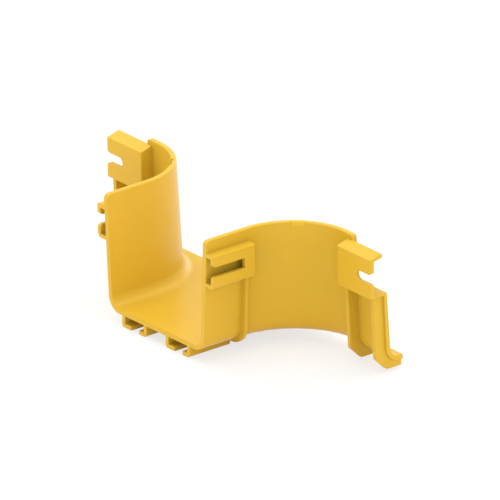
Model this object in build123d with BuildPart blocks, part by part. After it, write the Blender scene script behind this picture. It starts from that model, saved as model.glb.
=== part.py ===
# Raceway junction fitting: a branch port meeting a straight run, open at the back and at the top.
# One moulding. Millimetres, +Z up. The run lies along X, the branch opens toward -Y.
# Origin: middle of the branch mouth, on the underside of the floor.

import os
from math import atan, cos, degrees, hypot, radians, sin

from build123d import *

# Channel
port_width = 120.0
height = 105.0
wall = 4.0
floor = 4.2
rim_gain = 1.0
wall_lean = 5.8
straight_length = 45.4
sweep_radius = 63.2
run_straight = 51.3
floor_strip = 11.9
outer_round = 14.0
inner_round = 10.0
rim_corner = 5.0
rim_edge = 0.7
open_end_length = 39.7
run_corner = 3.0
shelf_height = 63.3

# Socket at each run port, where the end of a trough sits
socket_length = 36.3
socket_drop = 1.9
socket_wall_top = 3.2
socket_wall_foot = 4.1
socket_proud_top = 0.1
socket_proud_foot = 1.0

# Branch brackets
branch_reach = 14.5
branch_bracket_bottom = 62.5
branch_bracket_top = 93.5
branch_bracket_length = 45.8
branch_slot_depth = 34.4

# Run brackets
run_reach = 17.6
run_bracket_length = 45.7
run_bracket_bottom = 61.0
run_bracket_top = 97.0
run_flange_depth = 12.5
run_flange_rise = 3.3
run_slot_depth = 20.2

# All brackets
plate = 3.7
flange = 3.5
end_wall = 3.2
slot_bottom = 74.2
slot_top = 83.4
slot_mouth_round = 3.0
branch_lower_round = 4.2
bracket_edge = 1.0

# Collar rib round the branch
collar_start = 39.4
collar_thickness = 3.6
collar_side = 5.4
collar_below = 2.8
collar_round = 17.3

# Ribs on the run
rib_inset = 3.8
rib_below = 8.0
rib_chamfer = 11.1
rib_lean = 2.6
rib_round = 3.0
inner_rib_back = 40.4
outer_rib_back = 6.2
rib_thickness = 4.1

# Tee-slot rails under the branch
rail_gap_centre = 29.4
rail_gap = 10.7
rail_long_side = 17.5
rail_short_side = 15.2
rail_web = 3.7
rail_depth = 10.4
rail_foot = 3.6
rail_round = 3.4
rail_length = 44.0

# Cover relief in the rim of each sweep
relief_width = 13.6
relief_depth = 3.0
relief_drop = 5.6
sweep_middle = 135.0

overrun = 12.0
clearance = 1.0
tiny = 0.01
quarter_turn = 90.0
bevel_angle = 45.0

inner_half = port_width / 2
outer_half = inner_half + wall
sweep_centre = outer_half + sweep_radius
run_half_length = sweep_centre + run_straight
run_wall_foot = straight_length + sweep_radius
depth = run_wall_foot + wall + floor_strip
full_wall_reach = run_half_length - open_end_length
branch_face = outer_half + branch_reach
run_face = run_wall_foot - run_reach
run_bracket_start = run_half_length - run_bracket_length
inner_lean = wall_lean - rim_gain
outer_draft = degrees(atan(wall_lean / height))
inner_draft = degrees(atan(inner_lean / (height - floor)))
rim_radius = sweep_radius - wall_lean
slot_height = slot_top - slot_bottom
sides = (1, -1)


def channel_plan(half, radius):
    """Outline seen from above, run past every open side."""
    back = depth + overrun
    end = run_half_length + overrun
    turn = straight_length + radius
    with BuildSketch() as plan:
        with BuildLine():
            Line((-half, -overrun), (half, -overrun))
            Line((half, -overrun), (half, straight_length))
            RadiusArc((half, straight_length), (half + radius, turn), radius)
            Polyline(
                (half + radius, turn),
                (end, turn),
                (end, back),
                (-end, back),
                (-end, turn),
                (-half - radius, turn),
            )
            RadiusArc((-half - radius, turn), (-half, straight_length), radius)
            Line((-half, straight_length), (-half, -overrun))
        make_face()
    return plan.sketch


def on_open_side(edge):
    """True for an edge of the overrun outline that is trimmed away."""
    spot = edge.center()
    beyond_end = abs(spot.X) > run_half_length
    return spot.Y < 0 or spot.Y > depth or beyond_end


def section_plane(x_position):
    """Plane across the run: local x is Y, local y is Z, normal is +X."""
    return Plane(origin=(x_position, 0, 0), x_dir=(0, 1, 0), z_dir=(1, 0, 0))


def branch_plane(y_position):
    """Plane across the branch: local x is X, local y is Z, normal is -Y."""
    return Plane(origin=(0, y_position, 0), x_dir=(1, 0, 0), z_dir=(0, -1, 0))


def corner_at(sketch, across, up):
    """The corner of a sketch at the given place in its own plane."""
    return sketch.vertices().filter_by(lambda corner: hypot(corner.X - across, corner.Y - up) < tiny)


def run_wall_at(level):
    """How far back the outer face of the run's wall lies at a level."""
    return run_wall_foot - wall_lean * level / height


def on_bracket_outline(edge):
    """True for the outer edges of the plates, apart from those at the ports."""
    spot = edge.center()
    on_branch_plate = abs(abs(spot.X) - branch_face) < tiny
    branch_edge = abs(spot.Z - branch_bracket_top) < tiny or abs(spot.Y - branch_bracket_length) < tiny
    on_run_plate = abs(spot.Y - run_face) < tiny and abs(spot.X) > run_bracket_start - tiny
    run_edge = abs(spot.Z - run_bracket_top) < tiny or abs(abs(spot.X) - run_bracket_start) < tiny
    return on_branch_plate and branch_edge or on_run_plate and run_edge


def at_slot_height(edge):
    """True for an edge at the upper or the lower side of the bolt slots."""
    level = edge.center().Z
    return abs(level - slot_top) < tiny or abs(level - slot_bottom) < tiny


outer_plan = channel_plan(outer_half, sweep_radius)
cavity_plan = channel_plan(inner_half, sweep_radius + wall)
outer_growth = wall_lean * (height - rim_edge) / height
rim_outer_plan = channel_plan(outer_half + outer_growth, sweep_radius - outer_growth)
inner_growth = inner_lean * (height - rim_edge - floor) / (height - floor)
rim_inner_plan = channel_plan(inner_half + inner_growth, sweep_radius + wall - inner_growth)

with BuildPart() as channel_space:
    # Space inside the channel, with a generous round at the foot of the wall
    with BuildSketch(Plane.XY.offset(floor)):
        add(cavity_plan)
    extrude(amount=height, taper=-inner_draft)
    foot_edges = channel_space.edges().group_by(Axis.Z)[0]
    fillet(foot_edges.filter_by(on_open_side, reverse=True), radius=inner_round)

    # Bevel that breaks the inner edge of the rim
    with BuildSketch(Plane.XY.offset(height - rim_edge)):
        add(rim_inner_plan)
    extrude(amount=2 * rim_edge, taper=-bevel_angle)

with BuildPart() as socket_space:
    # Space for the end of a trough at each run port
    socket_floor = floor - socket_drop
    inner_face_top = run_wall_at(shelf_height) - socket_proud_top + socket_wall_top
    inner_face_foot = run_wall_at(socket_floor) - socket_proud_foot + socket_wall_foot
    for side in sides:
        with BuildSketch(section_plane(side * (run_half_length - socket_length))) as socket_outline:
            with BuildLine():
                Polyline(
                    (inner_face_foot, socket_floor),
                    (depth + overrun, socket_floor),
                    (depth + overrun, shelf_height),
                    (inner_face_top, shelf_height),
                    close=True,
                )
            make_face()
            fillet(corner_at(socket_outline, inner_face_foot, socket_floor), radius=inner_round)
        extrude(amount=side * (socket_length + overrun))

with BuildPart() as junction_fitting:
    # Solid outline of the channel, rounded below
    with BuildSketch(Plane.XY):
        add(outer_plan)
    extrude(amount=height - rim_edge, taper=-outer_draft)
    underside = junction_fitting.edges().group_by(Axis.Z)[0]
    fillet(underside.filter_by(on_open_side, reverse=True), radius=outer_round)

    # Bevelled outer edge of the rim
    with BuildSketch(Plane.XY.offset(height - rim_edge)):
        add(rim_outer_plan)
    extrude(amount=rim_edge, taper=bevel_angle)

    # Ends trimmed flat at the three ports and along the back
    with BuildSketch(Plane.XY):
        Rectangle(2 * run_half_length, depth, align=(Align.CENTER, Align.MIN))
    extrude(amount=height, mode=Mode.INTERSECT)

    # Wall cut down to a shelf near both run ports
    with BuildSketch(Plane.XY.offset(shelf_height)):
        for side in sides:
            with Locations((side * full_wall_reach, -overrun)):
                Rectangle(
                    run_half_length,
                    depth + 2 * overrun,
                    align=(Align.MIN if side > 0 else Align.MAX, Align.MIN),
                )
    extrude(amount=height, mode=Mode.SUBTRACT)

    # Rounded upper corners of the walls at the branch mouth
    with BuildSketch(section_plane(-sweep_centre)):
        with Locations((0, height)):
            Rectangle(2 * rim_corner, 2 * rim_corner)
        with Locations((rim_corner, height - rim_corner)):
            Circle(rim_corner, mode=Mode.SUBTRACT)
    extrude(amount=2 * sweep_centre, mode=Mode.SUBTRACT)

    # Rounded upper corners where the full wall ends on the run
    for side in sides:
        with BuildSketch(branch_plane(straight_length)):
            with Locations((side * full_wall_reach, height)):
                Rectangle(2 * run_corner, 2 * run_corner)
            with Locations((side * (full_wall_reach - run_corner), height - run_corner)):
                Circle(run_corner, mode=Mode.SUBTRACT)
        extrude(amount=straight_length - depth, mode=Mode.SUBTRACT)

    # Outer shell of the run port sockets
    shell_top = run_bracket_bottom + flange / 2
    shell_length = inner_rib_back - rib_thickness / 2
    shell_face_foot = run_wall_at(-socket_drop) - socket_proud_foot
    for side in sides:
        with BuildSketch(section_plane(side * (run_half_length - shell_length))) as shell_outline:
            with BuildLine():
                Polyline(
                    (shell_face_foot, -socket_drop),
                    (depth, -socket_drop),
                    (depth, shell_top),
                    (run_wall_at(shell_top) - socket_proud_top, shell_top),
                    close=True,
                )
            make_face()
            fillet(corner_at(shell_outline, shell_face_foot, -socket_drop), radius=outer_round)
        extrude(amount=side * shell_length)

    # Collar rib round the branch
    collar_half = outer_half + collar_side
    collar_top = branch_bracket_bottom + flange / 2
    collar_gain = wall_lean * collar_top / height
    with BuildSketch(branch_plane(collar_start)) as collar_outline:
        with BuildLine():
            Polyline(
                (-collar_half, -collar_below),
                (collar_half, -collar_below),
                (collar_half + collar_gain, collar_top),
                (-collar_half - collar_gain, collar_top),
                close=True,
            )
        make_face()
        fillet(collar_outline.vertices().group_by(Axis.Y)[0], radius=collar_round)
    extrude(amount=-collar_thickness)

    # Tee-slot rails under the branch
    for side in sides:
        middle = side * rail_gap_centre
        long_rail = (middle - rail_long_side, middle - rail_long_side + rail_web, middle - rail_gap / 2)
        short_rail = (middle + rail_short_side, middle + rail_short_side - rail_web, middle + rail_gap / 2)
        for outer, inner, tip in (long_rail, short_rail):
            with BuildSketch(branch_plane(0)) as rail_outline:
                with BuildLine():
                    Polyline(
                        (outer, floor / 2),
                        (outer, -rail_depth),
                        (tip, -rail_depth),
                        (tip, rail_foot - rail_depth),
                        (inner, rail_foot - rail_depth),
                        (inner, floor / 2),
                        close=True,
                    )
                make_face()
                fillet(corner_at(rail_outline, outer, -rail_depth), radius=rail_round)
            extrude(amount=-rail_length)

    # Ribs across the run, leaning with the wall
    rib_face = run_face + rib_inset
    rib_foot = rib_face + rib_lean
    for side in sides:
        for rib_back in (inner_rib_back, outer_rib_back):
            with BuildSketch(section_plane(side * (run_half_length - rib_back))) as rib_outline:
                with BuildLine():
                    Polyline(
                        (rib_face, shell_top),
                        (rib_foot, rib_chamfer - rib_below),
                        (rib_foot + rib_chamfer, -rib_below),
                        (depth, -rib_below),
                        (depth, shell_top),
                        close=True,
                    )
                make_face()
                fillet(corner_at(rib_outline, rib_foot, rib_chamfer - rib_below), radius=rib_round)
                fillet(corner_at(rib_outline, rib_foot + rib_chamfer, -rib_below), radius=rib_round)
            extrude(amount=side * rib_thickness)

    # Branch brackets
    branch_back = (outer_half + inner_half) / 2
    for side in sides:
        with BuildSketch(branch_plane(0)) as bracket_section:
            with BuildLine():
                Polyline(
                    (side * branch_back, branch_bracket_bottom),
                    (side * branch_face, branch_bracket_bottom),
                    (side * branch_face, branch_bracket_top),
                    (side * branch_back, branch_bracket_top),
                    (side * branch_back, branch_bracket_top - flange),
                    (side * (branch_face - plate), branch_bracket_top - flange),
                    (side * (branch_face - plate), branch_bracket_bottom + flange),
                    (side * branch_back, branch_bracket_bottom + flange),
                    close=True,
                )
            make_face()
            lower_corner = corner_at(bracket_section, side * branch_face, branch_bracket_bottom)
            fillet(lower_corner, radius=branch_lower_round)
        extrude(amount=-branch_bracket_length)
        with BuildSketch(branch_plane(branch_bracket_length - end_wall)) as branch_end:
            with BuildLine():
                Polyline(
                    (side * branch_back, branch_bracket_bottom),
                    (side * branch_face, branch_bracket_bottom),
                    (side * branch_face, branch_bracket_top),
                    (side * branch_back, branch_bracket_top),
                    close=True,
                )
            make_face()
            lower_corner = corner_at(branch_end, side * branch_face, branch_bracket_bottom)
            fillet(lower_corner, radius=branch_lower_round)
        extrude(amount=-end_wall)

    # Run brackets
    flange_back = run_face + run_flange_depth
    flange_back_top = run_bracket_top + run_flange_rise
    for side in sides:
        with BuildSketch(section_plane(side * run_bracket_start)):
            with BuildLine():
                Polyline(
                    (flange_back, flange_back_top - flange),
                    (flange_back, flange_back_top),
                    (run_face, run_bracket_top),
                    (run_face, run_bracket_bottom),
                    (depth, run_bracket_bottom),
                    (depth, shelf_height),
                    (run_face + plate, shelf_height),
                    (run_face + plate, run_bracket_top - flange / 2),
                    close=True,
                )
            make_face()
        extrude(amount=side * run_bracket_length)
        with BuildSketch(section_plane(side * run_bracket_start)):
            with BuildLine():
                Polyline(
                    (run_face, run_bracket_bottom),
                    (run_face, run_bracket_top),
                    (flange_back, flange_back_top),
                    (depth, flange_back_top),
                    (depth, run_bracket_bottom),
                    close=True,
                )
            make_face()
        extrude(amount=side * end_wall)

    # Hollow channel and sockets
    add(channel_space.part, mode=Mode.SUBTRACT)
    add(socket_space.part, mode=Mode.SUBTRACT)

    # Small rounds along the outer edges of the bracket plates
    fillet(junction_fitting.edges().filter_by(on_bracket_outline), radius=bracket_edge)

    # Bolt slots in the branch brackets, open toward the mouth
    for side in sides:
        with BuildSketch(section_plane(side * (branch_face - plate - clearance))):
            with Locations((-overrun, slot_bottom)):
                Rectangle(overrun + branch_slot_depth, slot_height, align=(Align.MIN, Align.MIN))
        extrude(amount=side * (plate + 2 * clearance), mode=Mode.SUBTRACT)

    # Bolt slots in the run brackets, round at the closed end
    for side in sides:
        slot_end = run_half_length - run_slot_depth + slot_height / 2
        with BuildSketch(branch_plane(run_face - clearance)):
            with Locations((side * slot_end, (slot_top + slot_bottom) / 2)):
                Circle(slot_height / 2)
                Rectangle(
                    run_slot_depth + overrun,
                    slot_height,
                    align=(Align.MIN if side > 0 else Align.MAX, Align.CENTER),
                )
        extrude(amount=-(plate + 2 * clearance), mode=Mode.SUBTRACT)

    # Lead-in rounds at the slot mouths
    branch_mouths = junction_fitting.edges().filter_by(Axis.X).filter_by(at_slot_height)
    branch_mouths = branch_mouths.filter_by(lambda edge: abs(edge.center().Y) < tiny)
    fillet(branch_mouths, radius=slot_mouth_round)
    run_mouths = junction_fitting.edges().filter_by(Axis.Y).filter_by(at_slot_height)
    run_mouths = run_mouths.filter_by(lambda edge: abs(edge.center().X) > run_half_length - tiny)
    fillet(run_mouths, radius=slot_mouth_round)

    # Cover relief rounded into the outer rim at the middle of each sweep
    across = cos(radians(sweep_middle))
    along = sin(radians(sweep_middle))
    for side in sides:
        relief_x = side * (sweep_centre + across * rim_radius)
        relief_y = straight_length + along * rim_radius
        relief_plane = Plane(
            origin=(relief_x, relief_y, height),
            x_dir=(-side * across, -along, 0),
            z_dir=(-along, side * across, 0),
        )
        with BuildSketch(relief_plane):
            with BuildLine():
                EllipticalCenterArc(
                    (-relief_depth, -relief_drop),
                    relief_depth,
                    relief_drop,
                    start_angle=0,
                    arc_size=quarter_turn,
                )
                Polyline(
                    (-relief_depth, 0),
                    (-relief_depth, overrun),
                    (overrun, overrun),
                    (overrun, -relief_drop),
                    (0, -relief_drop),
                )
            make_face()
        extrude(amount=relief_width / 2, both=True, mode=Mode.SUBTRACT)

os.makedirs("parts", exist_ok=True)
junction_fitting.part.label = "junction_fitting"
export_step(junction_fitting.part, "parts/junction_fitting.step")
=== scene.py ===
import math

import bpy
from mathutils import Matrix, Vector


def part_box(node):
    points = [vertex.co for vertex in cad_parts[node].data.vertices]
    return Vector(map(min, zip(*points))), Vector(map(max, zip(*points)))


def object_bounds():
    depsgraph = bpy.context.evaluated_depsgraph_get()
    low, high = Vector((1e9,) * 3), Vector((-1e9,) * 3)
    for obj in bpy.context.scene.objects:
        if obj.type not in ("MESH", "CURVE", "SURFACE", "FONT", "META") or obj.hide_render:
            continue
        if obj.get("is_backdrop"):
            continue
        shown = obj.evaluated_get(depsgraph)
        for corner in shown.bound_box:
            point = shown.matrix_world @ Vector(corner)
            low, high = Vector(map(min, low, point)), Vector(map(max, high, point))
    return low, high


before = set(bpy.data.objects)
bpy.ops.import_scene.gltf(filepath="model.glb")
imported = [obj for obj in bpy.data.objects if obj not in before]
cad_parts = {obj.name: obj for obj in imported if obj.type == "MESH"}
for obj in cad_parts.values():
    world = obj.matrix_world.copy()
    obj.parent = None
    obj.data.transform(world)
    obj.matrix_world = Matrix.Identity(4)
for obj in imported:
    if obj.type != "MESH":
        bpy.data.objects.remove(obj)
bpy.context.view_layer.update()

# One millimetre in metres, the unit of the scene
MM = 0.001

# Camera: angles in degrees, clipping in metres, the rest in millimetres of the part's own frame
VIEW_AZIMUTH = 51.576
VIEW_ELEVATION = 22.861
VIEW_ROLL = -0.836
VIEW_TARGET = (40.0, 50.0, 45.0)
VIEW_SHIFT_RIGHT = 15.734
VIEW_SHIFT_UP = 26.863
VIEW_DISTANCE = 2400.0
VIEW_WIDTH = 424.43
VIEW_CLIP = (0.01, 100)

# Plastic's colour: two yellows that drift into each other (noise scale per metre), and painted
# shade
# in pockets: a darker tone put into the base colour by ambient occlusion within a reach in
# millimetres and over a range of openness
PLASTIC_DEEP = (0.728, 0.436, 0.031, 1)
PLASTIC_LIGHT = (0.768, 0.464, 0.037, 1)
DRIFT_SCALE = 14.0
DRIFT_DETAIL = 4.0
DRIFT_SPAN = (0.3, 0.7)
POCKET_PAINTED_SHADE = (0.60, 0.42, 0.038, 1)
PAINTED_SHADE_REACH = 100.0
PAINTED_SHADE_RANGE = (0.1, 1.0)

# Plastic's surface: gloss, grain (noise scale per metre), grain height and edge radius in
# millimetres
PLASTIC_IOR = 1.5
GLOSS_LEVEL = 0.25
GLOSS_TINT = (1.0, 0.92, 0.60, 1)
GLOSS_RANGE = (0.28, 0.36)
GRAIN_SCALE = 1400.0
GRAIN_DETAIL = 3.0
GRAIN_STRENGTH = 0.10
GRAIN_HEIGHT = 0.2
EDGE_RADIUS = 0.5

# Studio: floor radius in metres, its gap below the part in millimetres, the share of plain white
# in the floor where it is seen directly, and the strength of the surroundings as light
WHITE = (1, 1, 1, 1)
WHITE_LEVEL = 1.0
FLOOR_COLOUR = (0.93, 0.93, 0.93, 1)
FLOOR_RADIUS = 6.0
FLOOR_CORNERS = 96
FLOOR_WHITE = 0.7
FLOOR_GAP = 0.05
WORLD_LEVEL = 0.80

# Lamps: name, azimuth and elevation in degrees, distance and width in metres, watts
LAMPS = (
    ("top_lamp", 0, 88, 2.2, 1.6, 18.0),
    ("left_lamp", -90, 42, 2.4, 1.2, 12.5),
    ("back_lamp", 170, 45, 2.4, 1.2, 9.5),
    ("back_left_lamp", -150, 12, 2.4, 1.0, 5.5),
    ("front_lamp", -5, 25, 2.4, 1.2, 1.8),
    ("near_camera_lamp", 50, 20, 2.6, 0.7, 5.0),
    ("right_lamp", 95, 25, 2.4, 1.2, 3.2),
)


def toward(azimuth, elevation):
    """Unit vector from the part toward an azimuth (from -Y, turning to +X) and elevation."""
    azimuth, elevation = math.radians(azimuth), math.radians(elevation)
    level = math.cos(elevation)
    return Vector((math.sin(azimuth) * level, -math.cos(azimuth) * level, math.sin(elevation)))


def add_node(tree, kind, **values):
    """New node with its input sockets set by name."""
    node = tree.nodes.new(kind)
    for name, value in values.items():
        node.inputs[name.replace("_", " ")].default_value = value
    return node


def add_object(name, data):
    """New object in the scene's own collection."""
    item = bpy.data.objects.new(name, data)
    bpy.context.scene.collection.objects.link(item)
    return item


def drifting_yellow(tree, place):
    """Colour socket with a faint drift between the plastic's two yellows."""
    drift = add_node(tree, "ShaderNodeTexNoise", Scale=DRIFT_SCALE, Detail=DRIFT_DETAIL)
    tree.links.new(place, drift.inputs["Vector"])
    tint = tree.nodes.new("ShaderNodeValToRGB")
    deep, light = tint.color_ramp.elements
    deep.position, light.position = DRIFT_SPAN
    deep.color, light.color = PLASTIC_DEEP, PLASTIC_LIGHT
    tree.links.new(drift.outputs["Fac"], tint.inputs["Fac"])
    return tint.outputs["Color"]


def with_painted_pocket_shade(tree, open_colour):
    """Colour socket with painted shade: goes from a darker shade tone in pockets to the given
    colour as a place gets open.
    """
    cover = add_node(tree, "ShaderNodeAmbientOcclusion", Distance=PAINTED_SHADE_REACH * MM)
    cover.only_local = True
    shut, wide = PAINTED_SHADE_RANGE
    openness = add_node(tree, "ShaderNodeMapRange", From_Min=shut, From_Max=wide)
    tree.links.new(cover.outputs["AO"], openness.inputs["Value"])
    blend = tree.nodes.new("ShaderNodeMix")
    blend.data_type = "RGBA"
    in_painted_shade, in_open = [socket for socket in blend.inputs if socket.type == "RGBA"]
    # Darker tone that paints shade into occluded pockets and corners
    in_painted_shade.default_value = POCKET_PAINTED_SHADE
    tree.links.new(openness.outputs["Result"], blend.inputs["Factor"])
    tree.links.new(open_colour, in_open)
    return next(socket for socket in blend.outputs if socket.type == "RGBA")


def moulded_plastic(name):
    """Satin yellow moulded plastic: fine grain, faint colour drift, painted shade in pockets, soft
    edges.
    """
    material = bpy.data.materials.new(name)
    material.use_nodes = True
    tree = material.node_tree
    links = tree.links
    shader = tree.nodes["Principled BSDF"]
    shader.inputs["IOR"].default_value = PLASTIC_IOR
    shader.inputs["Specular IOR Level"].default_value = GLOSS_LEVEL
    shader.inputs["Specular Tint"].default_value = GLOSS_TINT
    place = tree.nodes.new("ShaderNodeTexCoord").outputs["Object"]
    # Base colour with painted shade darkening it in pockets, slots and corners
    colour = with_painted_pocket_shade(tree, drifting_yellow(tree, place))
    links.new(colour, shader.inputs["Base Color"])

    grain = add_node(tree, "ShaderNodeTexNoise", Scale=GRAIN_SCALE, Detail=GRAIN_DETAIL)
    links.new(place, grain.inputs["Vector"])
    smooth, rough = GLOSS_RANGE
    gloss = add_node(tree, "ShaderNodeMapRange", To_Min=smooth, To_Max=rough)
    links.new(grain.outputs["Fac"], gloss.inputs["Value"])
    links.new(gloss.outputs["Result"], shader.inputs["Roughness"])

    soft_edge = add_node(tree, "ShaderNodeBevel", Radius=EDGE_RADIUS * MM)
    bump = add_node(
        tree, "ShaderNodeBump", Strength=GRAIN_STRENGTH, Distance=GRAIN_HEIGHT * MM
    )
    links.new(grain.outputs["Fac"], bump.inputs["Height"])
    links.new(soft_edge.outputs["Normal"], bump.inputs["Normal"])
    links.new(bump.outputs["Normal"], shader.inputs["Normal"])
    return material


def seen_directly(tree):
    """Socket that is 1 for camera, glossy and transmission rays."""
    path = tree.nodes.new("ShaderNodeLightPath")
    total = path.outputs["Is Camera Ray"]
    for ray in ("Is Glossy Ray", "Is Transmission Ray"):
        adder = tree.nodes.new("ShaderNodeMath")
        adder.operation = "ADD"
        adder.use_clamp = True
        tree.links.new(total, adder.inputs[0])
        tree.links.new(path.outputs[ray], adder.inputs[1])
        total = adder.outputs[0]
    return total


def finish_tree(tree, share, plain, seen, output_kind):
    """Send a mix of two shaders to the output; the share is that of the second one."""
    mix = tree.nodes.new("ShaderNodeMixShader")
    output = tree.nodes.new(output_kind)
    tree.links.new(share, mix.inputs[0])
    tree.links.new(plain.outputs[0], mix.inputs[1])
    tree.links.new(seen.outputs[0], mix.inputs[2])
    tree.links.new(mix.outputs[0], output.inputs["Surface"])


def pale_floor(name):
    """Matt pale ground, whitened where it is seen directly, that keeps the shadow."""
    material = bpy.data.materials.new(name)
    material.use_nodes = True
    tree = material.node_tree
    tree.nodes.clear()
    matt = add_node(tree, "ShaderNodeBsdfDiffuse", Color=FLOOR_COLOUR)
    white = add_node(tree, "ShaderNodeEmission", Color=WHITE, Strength=WHITE_LEVEL)
    share = tree.nodes.new("ShaderNodeMath")
    share.operation = "MULTIPLY"
    share.inputs[1].default_value = FLOOR_WHITE
    tree.links.new(seen_directly(tree), share.inputs[0])
    finish_tree(tree, share.outputs[0], matt, white, "ShaderNodeOutputMaterial")
    return material


def make_floor(level):
    """Large round floor under the part."""
    turns = [2 * math.pi * corner / FLOOR_CORNERS for corner in range(FLOOR_CORNERS)]
    ring = [
        (FLOOR_RADIUS * math.cos(turn), FLOOR_RADIUS * math.sin(turn), level) for turn in turns
    ]
    mesh = bpy.data.meshes.new("studio_floor")
    mesh.from_pydata(ring, [], [tuple(range(FLOOR_CORNERS))])
    mesh.materials.append(pale_floor("studio_floor"))
    floor = add_object("studio_floor", mesh)
    floor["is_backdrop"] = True


def make_world():
    """Even white surroundings: plain white where seen directly, dimmer as light."""
    world = bpy.data.worlds.new("studio")
    bpy.context.scene.world = world
    world.use_nodes = True
    tree = world.node_tree
    tree.nodes.clear()
    light = add_node(tree, "ShaderNodeBackground", Color=WHITE, Strength=WORLD_LEVEL)
    white = add_node(tree, "ShaderNodeBackground", Color=WHITE, Strength=WHITE_LEVEL)
    finish_tree(tree, seen_directly(tree), light, white, "ShaderNodeOutputWorld")


def make_lamp(name, azimuth, elevation, distance, width, power, aim):
    """Soft square lamp aimed at the part."""
    lamp = bpy.data.lights.new(name, "AREA")
    lamp.shape = "SQUARE"
    lamp.size = width
    lamp.energy = power
    light = add_object(name, lamp)
    away = toward(azimuth, elevation)
    light.location = aim + away * distance
    light.rotation_mode = "QUATERNION"
    light.rotation_quaternion = away.to_track_quat("Z", "Y")
    light.visible_camera = False


def make_camera():
    """Parallel view at the photograph's angle."""
    back = toward(VIEW_AZIMUTH, VIEW_ELEVATION)
    azimuth, roll = math.radians(VIEW_AZIMUTH), math.radians(VIEW_ROLL)
    right = Vector((math.cos(azimuth), math.sin(azimuth), 0))
    up = back.cross(right)
    tilted_right = math.cos(roll) * right + math.sin(roll) * up
    tilted_up = back.cross(tilted_right)
    target = Vector(VIEW_TARGET) + VIEW_SHIFT_RIGHT * tilted_right + VIEW_SHIFT_UP * tilted_up
    place = (target + back * VIEW_DISTANCE) * MM
    turn = Matrix((tilted_right, tilted_up, back)).transposed()
    data = bpy.data.cameras.new("camera")
    data.type = "ORTHO"
    data.ortho_scale = VIEW_WIDTH * MM
    data.clip_start, data.clip_end = VIEW_CLIP
    camera = add_object("camera", data)
    camera.matrix_world = Matrix.Translation(place) @ turn.to_4x4()
    bpy.context.scene.camera = camera


plastic = moulded_plastic("moulded_plastic")
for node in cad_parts.values():
    node.data.materials.clear()
    node.data.materials.append(plastic)

low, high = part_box("junction_fitting")
middle = (Vector(low) + Vector(high)) / 2
make_floor(low[2] - FLOOR_GAP * MM)
make_world()
for lamp_spec in LAMPS:
    make_lamp(*lamp_spec, middle)
make_camera()
bpy.context.scene.view_settings.view_transform = "Standard"

low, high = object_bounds()
